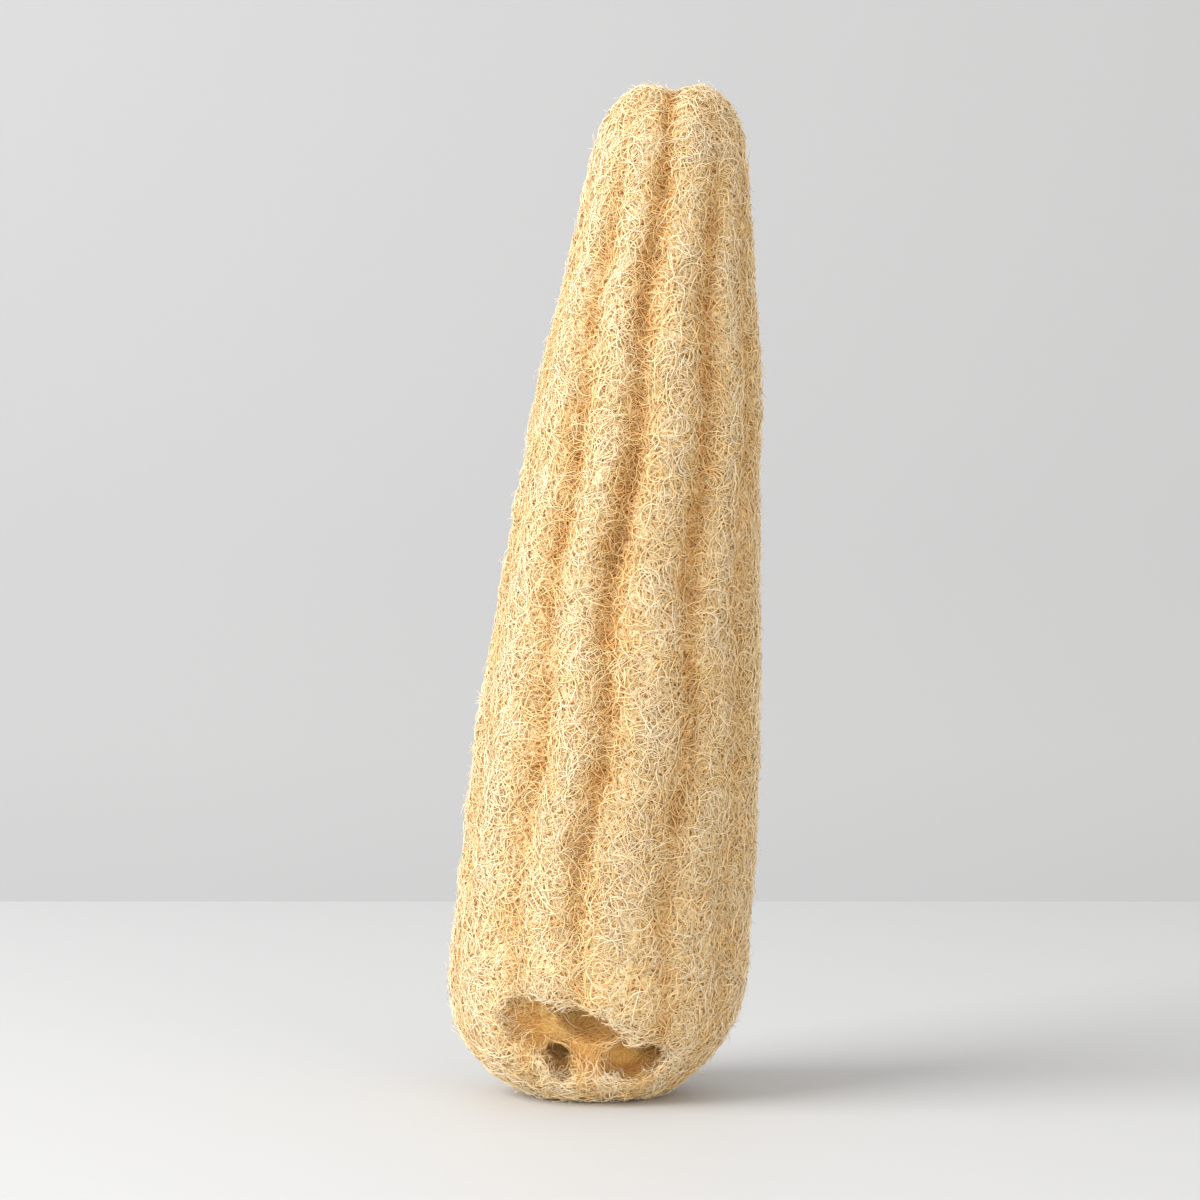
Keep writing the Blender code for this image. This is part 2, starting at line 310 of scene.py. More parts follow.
def carvedForm():
    # the form with its mouth and channels cut, as one even skin of small quads
    bm, middle = wholeForm()
    whole = toCollection("wholeForm", bm)
    tools = [hollowCutter(name, *values) for name, values in tornHollows.items()]
    tools += [channelCutter(name, stations) for name, stations in seedChannels.items()]
    for tool in tools:
        cut = whole.modifiers.new(tool.name, "BOOLEAN")
        cut.operation = "DIFFERENCE"
        cut.solver = "MANIFOLD"
        cut.object = tool
    skin = whole.modifiers.new("skin", "REMESH")
    skin.mode = "VOXEL"
    skin.voxel_size = spongeForm["voxel"]
    soften = whole.modifiers.new("soften", "SMOOTH")
    soften.factor = spongeForm["soften"]
    soften.iterations = 1
    mesh = evaluatedMesh(whole)
    for old in [whole] + tools:
        bpy.data.objects.remove(old)
    return mesh, middle


formMesh, formMiddle = carvedForm()
print("form:", len(formMesh.polygons), "faces")


def numbersOf(items, name, width, kind=np.float64):
    found = np.empty(len(items) * width, kind)
    items.foreach_get(name, found)
    return found.reshape(-1, width) if width > 1 else found


formMesh.calc_loop_triangles()
formPlaces = numbersOf(formMesh.vertices, "co", 3)
formCorners = numbersOf(formMesh.loop_triangles, "vertices", 3, np.int32)
formSkin = BVHTree.FromPolygons([Vector(p) for p in formPlaces], formCorners.tolist())


# what counts as a furrow or a hollow, in metres below the ridges' crests
depthRules = {
    "fullFurrow": 0.0052,
    "hollowFrom": 0.0012, "hollowReach": 0.004, "hollowHeights": (0.003, 0.09),
}


def sharesAt(places, rules=depthRules):
    # furrow: 1 along a furrow's bottom; hollow: 1 inside the torn mouth or a channel
    raw = places + np.array(formMiddle)
    centreX, centreY = sliceCentre(raw[:, 2])
    out = raw[:, 0] - centreX, raw[:, 1] - centreY
    angle = np.degrees(np.arctan2(out[0], -out[1] / spongeForm["depthToWidth"]))
    crest = formPoints(angle, raw[:, 2])
    away = np.hypot(crest[:, 0] - centreX, crest[:, 1] - centreY) - np.hypot(*out)
    furrow = np.clip(furrowDepth(angle, raw[:, 2]) / rules["fullFurrow"], 0, 1)
    lowest, highest = rules["hollowHeights"]
    hollow = np.clip((away - rules["hollowFrom"]) / rules["hollowReach"], 0, 1)
    hollow = hollow * (raw[:, 2] > lowest) * (raw[:, 2] < highest)
    return furrow, hollow


formFurrow, formHollow = sharesAt(formPlaces)
faceFurrow = formFurrow[formCorners].mean(axis=1).tolist()
faceHollow = formHollow[formCorners].mean(axis=1).tolist()


# Fibre layers, from the deepest to the outermost. Depths, widths, lengths, weave and lift in millimetres,
# bend in radians for each millimetre. Each layer's place on the tone scale from pale to deep is painted
# shade:
# the deeper a layer lies, the darker and more orange its fibres are drawn
fibreLayers = {
    "fibres_deep": {
        "seed": 31, "steps": 26500, "depth": (1.25, 0.80), "halfWidth": (0.18, 0.26), "length": (8, 30),
        "step": 1.9, "bend": 0.16, "weave": 0.22, "lift": -0.5,
        "paintedShade": 0.55, "alongShare": 0.35, "lipShare": 1.2,
    },
    "fibres_inner": {
        "seed": 32, "steps": 31000, "depth": (1.00, 0.55), "halfWidth": (0.16, 0.24), "length": (7, 24),
        "step": 1.7, "bend": 0.17, "weave": 0.25, "lift": -0.5,
        "paintedShade": 0.38, "alongShare": 0.32, "lipShare": 1.4,
    },
    "fibres_middle": {
        "seed": 33, "steps": 30500, "depth": (0.70, 0.30), "halfWidth": (0.14, 0.20), "length": (5, 17),
        "step": 1.5, "bend": 0.20, "weave": 0.28, "lift": -0.5,
        "paintedShade": 0.24, "alongShare": 0.30, "lipShare": 1.6,
    },
    "fibres_surface": {
        "seed": 34, "steps": 30000, "depth": (0.40, 0.05), "halfWidth": (0.12, 0.18), "length": (4, 13),
        "step": 1.4, "bend": 0.22, "weave": 0.22, "lift": -0.45,
        "paintedShade": 0.12, "alongShare": 0.28, "lipShare": 1.8,
    },
    "fibre_ends": {
        "seed": 35, "steps": 13500, "depth": (0.30, 0.0), "halfWidth": (0.08, 0.13), "length": (3.5, 8),
        "step": 1.1, "bend": 0.36, "weave": 0.20, "lift": 1.3,
        "paintedShade": 0.05, "alongShare": 0.25, "lipShare": 1.0,
    },
    "mouth_fringe": {
        "seed": 36, "steps": 3600, "depth": (0.30, -0.3), "halfWidth": (0.12, 0.19), "length": (4, 9),
        "step": 1.2, "bend": 0.28, "weave": 0.30, "lift": 1.8,
        "paintedShade": 0.08, "alongShare": 0.25, "lipShare": 900,
    },
}

# where fibres start: fewer at the back and where nothing shows, and on the mouth's lip as many more as each
# layer's lipShare says
coverRules = {
    "buriedBehind": -0.012, "buriedRadius": 0.030, "buriedHeights": (0.004, 0.09), "buriedShare": 0.12,
    "frontShare": 1.15, "backShare": 0.85,
    "lipHollow": (0.01, 0.35), "lipFront": -0.025,
}


def startPlaces(seed, wanted, lipShare, rules=coverRules):
    dice = np.random.default_rng(seed)
    first, second, third = (formPlaces[formCorners[:, k]] for k in range(3))
    area = np.linalg.norm(np.cross(second - first, third - first), axis=1)
    middle = (first + second + third) / 3
    lowest, highest = rules["buriedHeights"]
    buried = np.hypot(middle[:, 0], middle[:, 1]) < rules["buriedRadius"]
    buried &= (middle[:, 1] > rules["buriedBehind"]) & (middle[:, 2] < highest) & (middle[:, 2] > lowest)
    area = area * np.where(buried, rules["buriedShare"], 1.0)
    area = area * np.where(middle[:, 1] < 0, rules["frontShare"], rules["backShare"])
    rim = formHollow[formCorners].mean(axis=1)
    lipStart, lipEnd = rules["lipHollow"]
    lip = (rim > lipStart) & (rim < lipEnd) & (middle[:, 1] < rules["lipFront"])
    area = area * np.where(lip, lipShare, 1.0)
    picked = dice.choice(len(area), wanted, p=area / area.sum())
    toSecond, toThird = dice.random(wanted), dice.random(wanted)
    over = toSecond + toThird > 1
    toSecond[over], toThird[over] = 1 - toSecond[over], 1 - toThird[over]
    places = first[picked] + (second - first)[picked] * toSecond[:, None]
    return places + (third - first)[picked] * toThird[:, None]


headingRules = {
    # inside the mouth the fibres sweep round its two lower holes
    "rightEye": (0.010, 0, 0.014), "leftEye": (-0.013, 0, 0.011), "betweenEyes": -0.006,
    "sweepFrom": 0.25, "sweepShare": 0.8, "sweepScatter": 0.002,
    "anyWayShare": 0.30,
    "aroundHollow": 0.5, "aroundScatter": 0.45,
    "uprightScatter": 0.45, "ridgeScatter": 0.35,
}


def mouthSweep(place, normal, dice, rules):
    eye = Vector(rules["rightEye"] if place.x > rules["betweenEyes"] else rules["leftEye"])
    out = Vector((place.x - eye.x, 0, place.z - eye.z))
    scatter = Vector((dice.gauss(0, 1), dice.gauss(0, 1), dice.gauss(0, 1))) * rules["sweepScatter"]
    sweep = out.cross(Vector((0, 1, 0))) + scatter
    return sweep - normal * sweep.dot(normal)


def fibreHeading(place, normal, furrow, hollow, dice, alongShare, rules=headingRules):
    if hollow > rules["sweepFrom"] and dice.random() < rules["sweepShare"]:
        sweep = mouthSweep(place, normal, dice, rules)
        if sweep.length > 1e-5:
            return sweep.normalized()
    up = Vector((0, 0, 1)) - normal * normal.z
    if up.length < 0.2:  # on the crown and under the foot
        up = Vector((0, 1, 0)) - normal * normal.y
    up.normalize()
    side = up.cross(normal)
    if dice.random() < rules["anyWayShare"]:
        turn = dice.uniform(-math.pi, math.pi)
    elif dice.random() < alongShare * (1 - furrow) and hollow < rules["aroundHollow"]:
        turn = math.pi / 2 + dice.gauss(0, rules["aroundScatter"])
    else:
        turn = dice.gauss(0, rules["uprightScatter"] + rules["ridgeScatter"] * (1 - furrow))
        if dice.random() < 0.5:
            turn += math.pi
    return side * math.cos(turn) + up * math.sin(turn)


mm = 0.001

fibreWalk = {
    # inside the mouth and the channels fibres are drawn golden to deep: painted shade, kept warm as a
    # stand-in for light coming through the net
    "hollowPaintedShade": (0.55, 1.0), "hollowStraightening": 0.55,
    "waveStart": (0, 6.3), "swayLength": (5, 11), "weaveLength": (4, 8),
    "endRings": 2,  # over how many steps a fibre's ends taper and sink in
    "looseRaise": 1.6, "raisePower": 1.5,  # how soon and how sharply a loose end stands off
    "tipWidth": 0.5,
}


def growFibres(spec, walk=fibreWalk):
    # each fibre walks over the skin, bending and weaving up and down; lift below 0 tucks its ends in
    dice = random.Random(spec["seed"])
    step = spec["step"] * mm
    tip = walk["tipWidth"]
    made = []
    grown = 0
    for start in startPlaces(spec["seed"], spec["steps"] // 3, spec["lipShare"]):
        place, normal, face, _ = formSkin.find_nearest(Vector(start))
        hollow = faceHollow[face]
        along = fibreHeading(place, normal, faceFurrow[face], hollow, dice, spec["alongShare"])
        # painted shade: the layer's own amount, and golden to deep inside the hollows
        paintedShade = spec["paintedShade"] * (1 - hollow) + dice.uniform(*walk["hollowPaintedShade"]) * hollow
        count = max(3, round(dice.uniform(*spec["length"]) / spec["step"]))
        curl = spec["bend"] / mm * (1 - walk["hollowStraightening"] * hollow)
        bend = dice.gauss(0, curl)
        sway = abs(dice.gauss(0, curl))
        swayTurn, swayLength = dice.uniform(*walk["waveStart"]), dice.uniform(*walk["swayLength"])
        weaveTurn, weaveLength = dice.uniform(*walk["waveStart"]), dice.uniform(*walk["weaveLength"])
        depth = dice.uniform(*spec["depth"])
        halfWidth = dice.uniform(*spec["halfWidth"]) * mm
        points = []
        for k in range(count + 1):
            travelled = k * spec["step"]
            end = min(k, count - k) / walk["endRings"]
            if spec["lift"] > 0:
                end = (count - k) / count * walk["looseRaise"]  # only the far end stands off
            raised = spec["lift"] * max(0.0, 1 - end) ** walk["raisePower"]
            weave = spec["weave"] * math.sin(travelled / weaveLength * math.tau + weaveTurn)
            at = place + normal * ((raised - depth + weave) * mm)
            at.z = max(at.z, halfWidth)
            points.append((at, halfWidth * (tip + (1 - tip) * min(end, 1.0)), faceFurrow[face]))
            turn = (bend + sway * math.sin(travelled / swayLength * math.tau + swayTurn)) * step
            along = Matrix.Rotation(turn, 3, normal) @ along
            place, normal, face, _ = formSkin.find_nearest(place + along * step)
            along = (along - normal * along.dot(normal)).normalized()
        made.append({"points": points, "shade": dice.random(), "paintedShade": paintedShade})
        grown += count
        if grown >= spec["steps"]:
            break
    return made


strandRules = {
    "fibresPerCurve": 150,  # many short curves are much quicker than one long one
    # painted shade: fibres lying in a furrow are drawn darker and more orange
    "furrowPaintedShade": 0.55, "furrowPaintedShadePower": 0.65,
    # margins round each strand's strip of the map, as shares of its own cell, and how far a cap reaches in it
    "marginAcross": 0.12, "marginAlong": 0.08, "capReach": 0.7,
}


def strandMesh(name, fibres, rules=strandRules):
    # three-sided strands with closed ends
    profile = bpy.data.curves.new("strandProfile", "CURVE")
    ring = profile.splines.new("POLY")
    ring.points.add(2)
    for k, point in enumerate(ring.points):
        point.co = (math.cos(k * math.tau / 3), math.sin(k * math.tau / 3), 0, 1)
    ring.use_cyclic_u = True
    profileObject = bpy.data.objects.new("strandProfile", profile)
    bpy.context.scene.collection.objects.link(profileObject)
    bm = bmesh.new()
    for first in range(0, len(fibres), rules["fibresPerCurve"]):
        curve = bpy.data.curves.new(name, "CURVE")
        curve.dimensions = "3D"
        curve.bevel_mode = "OBJECT"
        curve.bevel_object = profileObject
        for fibre in fibres[first:first + rules["fibresPerCurve"]]:
            spline = curve.splines.new("POLY")
            spline.points.add(len(fibre["points"]) - 1)
            spline.points.foreach_set("co", [c for at, _, _ in fibre["points"] for c in (*at, 1)])
            spline.points.foreach_set("radius", [width for _, width, _ in fibre["points"]])
        guide = bpy.data.objects.new(name + "Guide", curve)
        bpy.context.scene.collection.objects.link(guide)
        strands = evaluatedMesh(guide)
        bm.from_mesh(strands)
        bpy.data.objects.remove(guide)
        bpy.data.meshes.remove(strands)
    bpy.data.objects.remove(profileObject)
    bmesh.ops.edgeloop_fill(bm, edges=[e for e in bm.edges if e.is_boundary])
    bmesh.ops.recalc_face_normals(bm, faces=bm.faces)
    return toCollection(name, bm)


def paintStrands(mesh, fibres, lengths, rules=strandRules):
    # each strand's own random lightness, and its painted shade, which grows in the furrows
    furrow = np.array([share for f in fibres for _, _, share in f["points"]])
    paintedShade = np.repeat([f["paintedShade"] for f in fibres], lengths)
    paintedShade = np.clip(paintedShade + rules["furrowPaintedShade"] * furrow ** rules["furrowPaintedShadePower"], 0, 1)
    shade = np.repeat([f["shade"] for f in fibres], lengths)
    for attributeName, values in (("shade", shade), ("paintedShade", paintedShade)):
        attribute = mesh.attributes.new(attributeName, "FLOAT", "POINT")
        attribute.data.foreach_set("value", np.repeat(values, 3).astype(np.float32))


def mapStrands(mesh, lengths, rules=strandRules):
    # a strip of the map for each strand, unrolled across three sides, with its two caps beyond the ends
    cells = math.ceil(math.sqrt(len(lengths)))
    strand = np.repeat(np.arange(len(lengths)), lengths)
    ringInStrand = np.arange(lengths.sum()) - np.repeat(np.cumsum(lengths) - lengths, lengths)
    corner = numbersOf(mesh.loops, "vertex_index", 1, np.int32)
    first = numbersOf(mesh.polygons, "loop_start", 1, np.int32)
    total = numbersOf(mesh.polygons, "loop_total", 1, np.int32)
    face = np.repeat(np.arange(len(first)), total)
    side = (corner % 3).astype(float)
    lowest = np.minimum.reduceat(side, first)[face]
    highest = np.maximum.reduceat(side, first)[face]
    quad = (total == 4)[face]
    side[quad & (lowest == 0) & (highest == 2) & (side == 0)] = 3  # the last side closes the ring
    along = ringInStrand[corner // 3].astype(float)
    ends = lengths[strand[corner // 3]] - 1
    beyond = np.where(along < 1, -rules["capReach"], ends + rules["capReach"])
    along = np.where(~quad & (side == 1), beyond, along)
    across, up = rules["marginAcross"], rules["marginAlong"]
    cell = strand[corner // 3]
    u = (cell % cells + across + (1 - 2 * across) * side / 3) / cells
    v = (cell // cells + up + (1 - 2 * up) * (along + 1) / (ends + 2)) / cells
    layer = mesh.uv_layers.get("OFBake") or mesh.uv_layers.new(name="OFBake", do_init=False)
    layer.uv.foreach_set("vector", np.stack([u, v], 1).astype(np.float32).ravel())
    for other in [x.name for x in mesh.uv_layers if x.name != "OFBake"]:
        mesh.uv_layers.remove(mesh.uv_layers[other])


def giveLook(piece, material):
    piece.data.shade_smooth()
    piece.data.materials.clear()
    piece.data.materials.append(material)
    return piece


def fibrePiece(name, fibres, material):
    piece = strandMesh(name, fibres)
    lengths = np.array([len(f["points"]) for f in fibres])
    assert len(piece.data.vertices) == lengths.sum() * 3, name
    paintStrands(piece.data, fibres, lengths)
    mapStrands(piece.data, lengths)
    return giveLook(piece, material)


def addNode(tree, kind, place, **settings):
    made = tree.nodes.new(kind)
    made.location = place
    for key, value in settings.items():
        setattr(made, key, value)
    return made


def fibreGrainGroup():
    # fine light and dark flecks along dry plant fibre, and their height
    group = bpy.data.node_groups.new("fibreGrain", "ShaderNodeTree")
    group.interface.new_socket(name="Place", in_out="INPUT", socket_type="NodeSocketVector")
    scale = group.interface.new_socket(name="Scale", in_out="INPUT", socket_type="NodeSocketFloat")
    scale.default_value = 900
    group.interface.new_socket(name="Fleck", in_out="OUTPUT", socket_type="NodeSocketFloat")
    group.interface.new_socket(name="Height", in_out="OUTPUT", socket_type="NodeSocketFloat")
    start = addNode(group, "NodeGroupInput", (-500, 0))
    end = addNode(group, "NodeGroupOutput", (300, 0))
    fleck = addNode(group, "ShaderNodeTexNoise", (-250, 100))
    fleck.inputs["Detail"].default_value = 3
    fleck.inputs["Roughness"].default_value = 0.6
    group.links.new(start.outputs["Place"], fleck.inputs["Vector"])
    group.links.new(start.outputs["Scale"], fleck.inputs["Scale"])
    group.links.new(fleck.outputs["Fac"], end.inputs["Fleck"])
    group.links.new(fleck.outputs["Fac"], end.inputs["Height"])
    return group


def fibreWebGroup():
    # fine crossing threads: lines along which a slow noise keeps its middle value
    group = bpy.data.node_groups.new("fibreWeb", "ShaderNodeTree")
    for name, default in (("Scale", 300), ("Width", 0.03), ("Shift", 0.0)):
        made = group.interface.new_socket(name=name, in_out="INPUT", socket_type="NodeSocketFloat")
        made.default_value = default
    group.interface.new_socket(name="Place", in_out="INPUT", socket_type="NodeSocketVector")
    group.interface.new_socket(name="Thread", in_out="OUTPUT", socket_type="NodeSocketFloat")
    start = addNode(group, "NodeGroupInput", (-900, 0))
    end = addNode(group, "NodeGroupOutput", (500, 0))
    move = addNode(group, "ShaderNodeVectorMath", (-700, 0), operation="ADD")
    field = addNode(group, "ShaderNodeTexNoise", (-500, 0))
    field.inputs["Detail"].default_value = 1.5
    away = addNode(group, "ShaderNodeMath", (-300, 0), operation="SUBTRACT")
    away.inputs[1].default_value = 0.5
    size = addNode(group, "ShaderNodeMath", (-120, 0), operation="ABSOLUTE")
    line = addNode(group, "ShaderNodeMapRange", (100, 0), interpolation_type="SMOOTHSTEP")
    line.inputs["From Min"].default_value = 0.0
    line.inputs["To Min"].default_value = 1.0
    line.inputs["To Max"].default_value = 0.0
    links = group.links
    links.new(start.outputs["Place"], move.inputs[0])
    links.new(start.outputs["Shift"], move.inputs[1])
    links.new(move.outputs[0], field.inputs["Vector"])
    links.new(start.outputs["Scale"], field.inputs["Scale"])
    links.new(field.outputs["Fac"], away.inputs[0])
    links.new(away.outputs[0], size.inputs[0])
    links.new(size.outputs[0], line.inputs["Value"])
    links.new(start.outputs["Width"], line.inputs["From Max"])
    links.new(line.outputs["Result"], end.inputs["Thread"])
    return group


grainGroup = fibreGrainGroup()
webGroup = fibreWebGroup()

fibreTones = {
    "pale": (0.97, 0.81, 0.57),
    "golden": (0.91, 0.655, 0.31),
    "deep": (0.79, 0.45, 0.15),
    "paleUpTo": 0.15,  # places on the scale from pale to deep
    "goldenAt": 0.58,
    "patchScale": 70,
    "patchSpread": 0.55,  # warmer and paler random patches, to both sides of a fibre's painted shade
    "leastLight": 0.79,
    "lightSpread": 0.20,  # from strand to strand
    "grainScale": 1400,
    "grainSpread": 0.16,
    "bumpStrength": 0.5,
    "bumpHeight": 0.0001,
    "roughness": 0.62,
    "specular": 0.35,
}


def newMaterial(name):
    material = bpy.data.materials.new(name)
    material.use_nodes = True
    tree = material.node_tree
    return material, tree, tree.nodes["Principled BSDF"]


def addBump(tree, shader, height, tones):
    bump = addNode(tree, "ShaderNodeBump", (-200, -300))
    bump.inputs["Strength"].default_value = tones["bumpStrength"]
    bump.inputs["Distance"].default_value = tones["bumpHeight"]
    tree.links.new(height, bump.inputs["Height"])
    tree.links.new(bump.outputs[0], shader.inputs["Normal"])
    shader.inputs["Roughness"].default_value = tones["roughness"]
    shader.inputs["Specular IOR Level"].default_value = tones["specular"]


def strandMaterial(tones=fibreTones):
    material, tree, shader = newMaterial("dryStrand")
    links = tree.links
    place = addNode(tree, "ShaderNodeTexCoord", (-1300, -200))
    paintedShade = addNode(tree, "ShaderNodeAttribute", (-1300, 200), attribute_name="paintedShade")
    shade = addNode(tree, "ShaderNodeAttribute", (-1300, 0), attribute_name="shade")
    patch = addNode(tree, "ShaderNodeTexNoise", (-1100, -200))
    patch.inputs["Scale"].default_value = tones["patchScale"]
    patch.inputs["Detail"].default_value = 2
    # the place on the tone scale: the fibre's painted shade, moved by random patches
    shift = addNode(tree, "ShaderNodeMath", (-1050, 250), operation="SUBTRACT")
    shift.inputs[1].default_value = tones["patchSpread"] / 2
    patchAndPaintedShade = addNode(tree, "ShaderNodeMath", (-900, 100), operation="MULTIPLY_ADD")
    patchAndPaintedShade.inputs[1].default_value = tones["patchSpread"]
    tone = addNode(tree, "ShaderNodeValToRGB", (-700, 100))
    tone.color_ramp.elements[0].position = tones["paleUpTo"]
    tone.color_ramp.elements[0].color = (*tones["pale"], 1)
    tone.color_ramp.elements[1].position = 1.0
    tone.color_ramp.elements[1].color = (*tones["deep"], 1)
    middle = tone.color_ramp.elements.new(tones["goldenAt"])
    middle.color = (*tones["golden"], 1)
    grain = addNode(tree, "ShaderNodeGroup", (-700, -300), node_tree=grainGroup)
    grain.inputs["Scale"].default_value = tones["grainScale"]
    light = addNode(tree, "ShaderNodeMath", (-500, -100), operation="MULTIPLY_ADD")
    light.inputs[1].default_value = tones["lightSpread"]
    light.inputs[2].default_value = tones["leastLight"]
    fleck = addNode(tree, "ShaderNodeMath", (-350, -200), operation="MULTIPLY_ADD")
    fleck.inputs[1].default_value = tones["grainSpread"]
    colour = addNode(tree, "ShaderNodeVectorMath", (-200, 100), operation="SCALE")
    links.new(place.outputs["Object"], patch.inputs["Vector"])
    links.new(patch.outputs["Fac"], patchAndPaintedShade.inputs[0])
    links.new(paintedShade.outputs["Fac"], shift.inputs[0])
    links.new(shift.outputs[0], patchAndPaintedShade.inputs[2])
    links.new(patchAndPaintedShade.outputs[0], tone.inputs["Fac"])
    links.new(place.outputs["Object"], grain.inputs["Place"])
    links.new(shade.outputs["Fac"], light.inputs[0])
    links.new(grain.outputs["Fleck"], fleck.inputs[0])
    links.new(light.outputs[0], fleck.inputs[2])
    links.new(tone.outputs["Color"], colour.inputs[0])
    links.new(fleck.outputs[0], colour.inputs["Scale"])
    links.new(colour.outputs[0], shader.inputs["Base Color"])
    addBump(tree, shader, grain.outputs["Height"], tones)
    return material


coreTones = {
    # painted shade: the gaps of the net drawn dark brown, where the eye looks deeper in
    "poreShade": (0.36, 0.18, 0.05),
    "mat": (0.80, 0.545, 0.235),
    "thread": (0.98, 0.82, 0.52),
    "furrow": (0.95, 0.73, 0.47),  # painted shade: multiplies the colour in the furrows, darker and more orange
    "hollow": (0.95, 0.54, 0.14),  # the mat inside the mouth and the channels: its own golden tone, drawn brighter and without dark pores as painted light soaking through the net
    "hollowPaintedGlowShare": 0.85,
    "matAt": 0.30,  # on the scale from pore to thread
    "bumpStrength": 0.8,
    "bumpHeight": 0.0005,
    "roughness": 0.75,
    "specular": 0.25,
    "glow": 0.4,  # light soaks through the open net
    "glowRadius": (1.0, 0.95, 0.85),
    "glowReach": 0.008,
    # scale, width, shift
    "webs": (
        (420, 0.050, 0.0),
        (520, 0.055, 3.7),
        (470, 0.050, 8.1),
        (600, 0.060, 14.3),
        (380, 0.045, 21.0),
    ),
}


def coreMaterial(tones=coreTones):
    material, tree, shader = newMaterial("innerNet")
    links = tree.links
    place = addNode(tree, "ShaderNodeTexCoord", (-1500, 0))
    paintedShade = addNode(tree, "ShaderNodeAttribute", (-600, 500), attribute_name="paintedShade")
    threads = None
    for k, (scale, width, shift) in enumerate(tones["webs"]):
        web = addNode(tree, "ShaderNodeGroup", (-1200, 300 - 200 * k), node_tree=webGroup)
        web.inputs["Scale"].default_value = scale
        web.inputs["Width"].default_value = width
        web.inputs["Shift"].default_value = shift
        links.new(place.outputs["Object"], web.inputs["Place"])
        if threads is None:
            threads = web.outputs["Thread"]
            continue
        most = addNode(tree, "ShaderNodeMath", (-1000 + 100 * k, 200 - 200 * k), operation="MAXIMUM")
        links.new(threads, most.inputs[0])
        links.new(web.outputs["Thread"], most.inputs[1])
        threads = most.outputs[0]
    tone = addNode(tree, "ShaderNodeValToRGB", (-500, 200))
    tone.color_ramp.elements[0].color = (*tones["poreShade"], 1)
    tone.color_ramp.elements[1].color = (*tones["thread"], 1)
    middle = tone.color_ramp.elements.new(tones["matAt"])
    middle.color = (*tones["mat"], 1)
    links.new(threads, tone.inputs["Fac"])
    # painted shade in the furrows
    colour = addNode(tree, "ShaderNodeMix", (-200, 200), data_type="RGBA", blend_type="MULTIPLY")
    colour.inputs["B"].default_value = (*tones["furrow"], 1)
    links.new(paintedShade.outputs["Fac"], colour.inputs["Factor"])
    links.new(tone.outputs["Color"], colour.inputs["A"])
    # painted light inside the hollows: the mat drawn as if lit through the net
    inside = addNode(tree, "ShaderNodeAttribute", (-400, -100), attribute_name="hollow")
    bright = addNode(tree, "ShaderNodeMath", (-200, -50), operation="MULTIPLY")
    bright.inputs[1].default_value = tones["hollowPaintedGlowShare"]
    hollowPaintedGlow = addNode(tree, "ShaderNodeMix", (0, 200), data_type="RGBA", blend_type="MIX")
    hollowPaintedGlow.inputs["B"].default_value = (*tones["hollow"], 1)
    links.new(inside.outputs["Fac"], bright.inputs[0])
    links.new(bright.outputs[0], hollowPaintedGlow.inputs["Factor"])
    links.new(colour.outputs["Result"], hollowPaintedGlow.inputs["A"])
    links.new(hollowPaintedGlow.outputs["Result"], shader.inputs["Base Color"])
    addBump(tree, shader, threads, tones)
    shader.inputs["Subsurface Weight"].default_value = tones["glow"]
    shader.inputs["Subsurface Radius"].default_value = tones["glowRadius"]
    shader.inputs["Subsurface Scale"].default_value = tones["glowReach"]
    return material


# The net under the fibres: the form sunk a little, with a fine relief
innerCore = {
    "sink": 0.0014, "relief": 0.0003, "reliefLength": 0.0022, "lowest": 0.0006,
    # painted shade for the mat in the furrows
    "furrowPaintedShade": 0.8, "furrowPaintedShadePower": 0.8,
}


def corePiece(material, core=innerCore):
    bm = bmesh.new()
    bm.from_mesh(formMesh)
    bm.normal_update()
    moved = []
    for v in bm.verts:
        drop = core["sink"] + noise.noise(v.co / core["reliefLength"]) * core["relief"]
        to = v.co - v.normal * drop
        to.z = max(to.z, core["lowest"])
        moved.append(to)
    for v, to in zip(bm.verts, moved):
        v.co = to
    piece = toCollection("inner_net", bm)
    # painted shade, from the furrows
    paintedShade = formFurrow ** core["furrowPaintedShadePower"] * core["furrowPaintedShade"]
    for attributeName, values in (("paintedShade", paintedShade), ("hollow", formHollow)):
        attribute = piece.data.attributes.new(attributeName, "FLOAT", "POINT")
        attribute.data.foreach_set("value", values.astype(np.float32))
    return giveLook(piece, material)


strandLook = strandMaterial()
pieces = [corePiece(coreMaterial())]
print("inner net made")

for layerName, spec in fibreLayers.items():
    fibres = growFibres(spec)
    piece = fibrePiece(layerName, fibres, strandLook)
    pieces.append(piece)
    triangles = sum(len(p.vertices) - 2 for p in piece.data.polygons)
    print(layerName, len(fibres), "fibres", triangles, "triangles")

for piece in pieces:
    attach(piece, "root")
    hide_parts("loofah_sponge")

# Table, wall behind, light and camera. The table's back edge hides the wall's lower end
studio = {
    "table": {"size": (4.4, 2.145), "centre": (0, -0.5275, 0), "turn": 0, "colour": (0.645, 0.645, 0.64)},
    "wall": {"size": (4.4, 3.0), "centre": (0, 1.6, 0.9), "turn": 90, "colour": (0.55, 0.55, 0.553)},
    "paintRoughness": 0.6,
    "key": {
        "place": (-1.50, -0.70, 1.00), "aim": (0, 0, 0.14), "size": 1.5, "power": 49,
        "colour": (0.985, 0.995, 1.0),
    },
    "fill": {
        "place": (0.80, -1.50, 0.16), "aim": (0, 0, 0.14), "size": 0.9, "power": 13,
        "colour": (1.0, 0.94, 0.84),
    },
    # in the photo light comes through the net into the mouth; a faint narrow lamp stands in for it
    "mouthLight": {
        "place": (-0.06, -1.02, 0.10), "aim": (-0.008, -0.035, 0.021), "radius": 0.03, "power": 12,
        "angle": 4.6,
    },
    "skyStrength": 0.70,
}


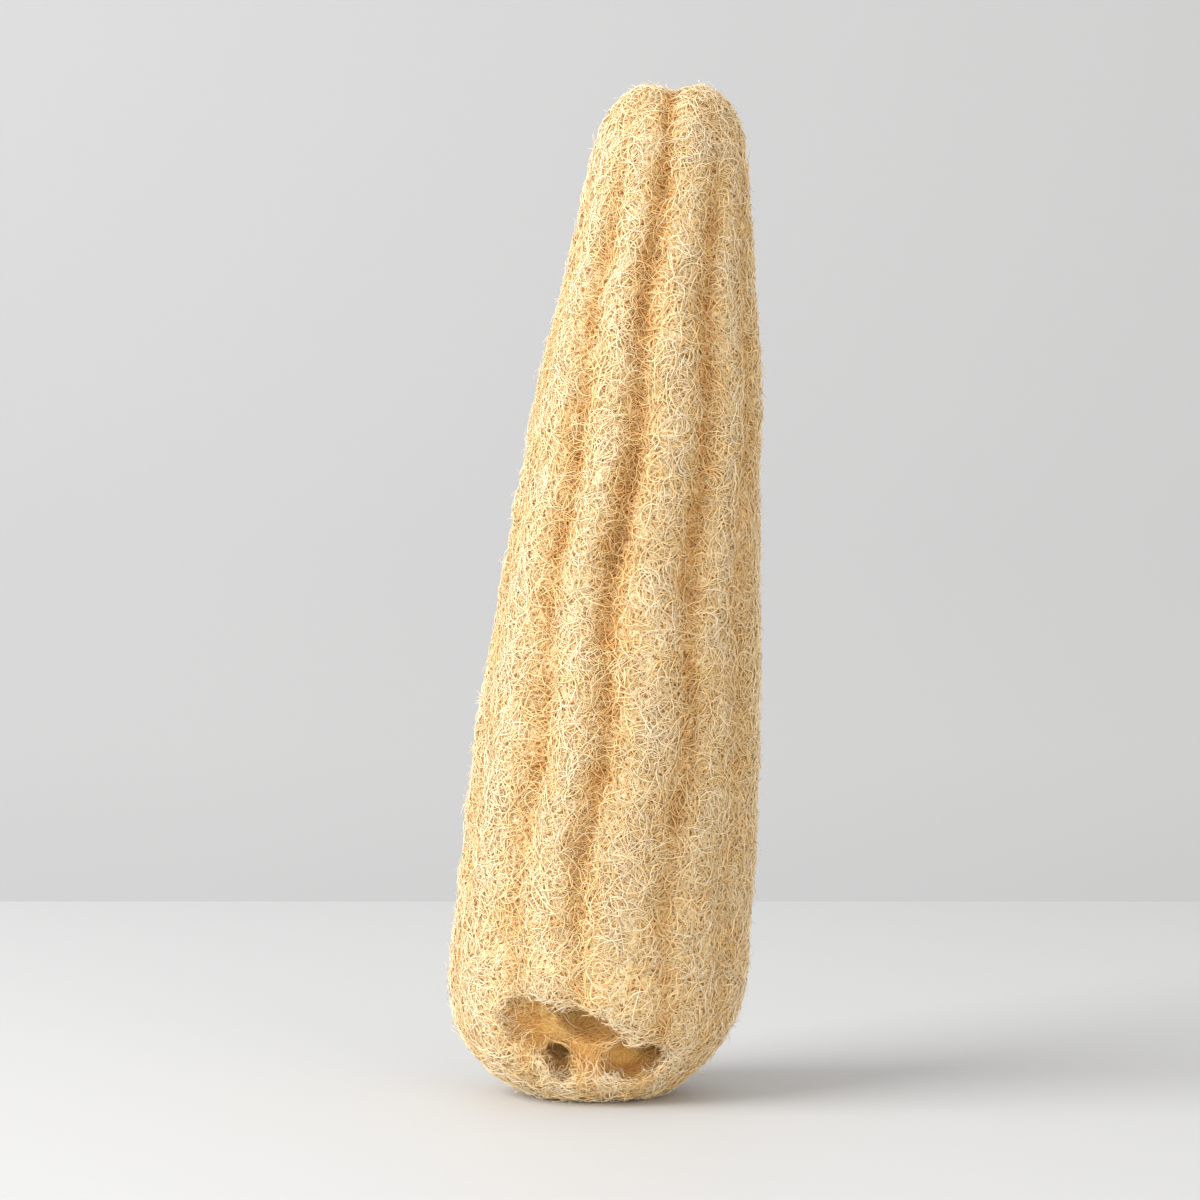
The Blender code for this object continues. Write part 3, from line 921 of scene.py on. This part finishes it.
def stagePlane(name, spec):
    bm = bmesh.new()
    bmesh.ops.create_grid(bm, x_segments=1, y_segments=1, size=0.5)
    bmesh.ops.scale(bm, vec=(*spec["size"], 1), verts=bm.verts)
    bmesh.ops.rotate(bm, matrix=Matrix.Rotation(math.radians(spec["turn"]), 3, "X"), verts=bm.verts)
    bmesh.ops.translate(bm, vec=spec["centre"], verts=bm.verts)
    made = toCollection(name, bm)
    material, tree, shader = newMaterial(name + "Paint")
    shader.inputs["Base Color"].default_value = (*spec["colour"], 1)
    shader.inputs["Roughness"].default_value = studio["paintRoughness"]
    made.data.materials.append(material)


def placeLight(lamp, spec):
    lamp.energy = spec["power"]
    made = bpy.data.objects.new(lamp.name, lamp)
    made.location = spec["place"]
    made.rotation_euler = (Vector(spec["aim"]) - Vector(spec["place"])).to_track_quat("-Z", "Y").to_euler()
    bpy.context.scene.collection.objects.link(made)


def areaLight(name, spec):
    lamp = bpy.data.lights.new(name, "AREA")
    lamp.shape = "SQUARE"
    lamp.color = spec["colour"]
    lamp.size = spec["size"]
    placeLight(lamp, spec)


def spotLight(name, spec):
    lamp = bpy.data.lights.new(name, "SPOT")
    lamp.spot_size = math.radians(spec["angle"])
    lamp.spot_blend = 1.0
    lamp.shadow_soft_size = spec["radius"]
    placeLight(lamp, spec)


stagePlane("table", studio["table"])
stagePlane("wall", studio["wall"])
areaLight("key", studio["key"])
areaLight("fill", studio["fill"])
spotLight("mouthLight", studio["mouthLight"])

world = bpy.data.worlds.new("studio")
world.use_nodes = True
sky = world.node_tree.nodes["Background"]
sky.inputs["Color"].default_value = (1, 1, 1, 1)
sky.inputs["Strength"].default_value = studio["skyStrength"]
bpy.context.scene.world = world
bpy.context.scene.view_settings.view_transform = "Standard"

cameraSetup = {
    "distance": 1.10, "eyeHeight": 0.172, "aimHeight": 0.1465, "aside": -0.0018, "lens": 111.4, "sensor": 36,
}
cameraData = bpy.data.cameras.new("camera")
cameraData.lens = cameraSetup["lens"]
cameraData.sensor_width = cameraSetup["sensor"]
camera = bpy.data.objects.new("camera", cameraData)
camera.location = (cameraSetup["aside"], -cameraSetup["distance"], cameraSetup["eyeHeight"])
aim = Vector((cameraSetup["aside"], 0, cameraSetup["aimHeight"]))
camera.rotation_euler = (aim - camera.location).to_track_quat("-Z", "Y").to_euler()
bpy.context.scene.collection.objects.link(camera)
bpy.context.scene.camera = camera
print("studio made")
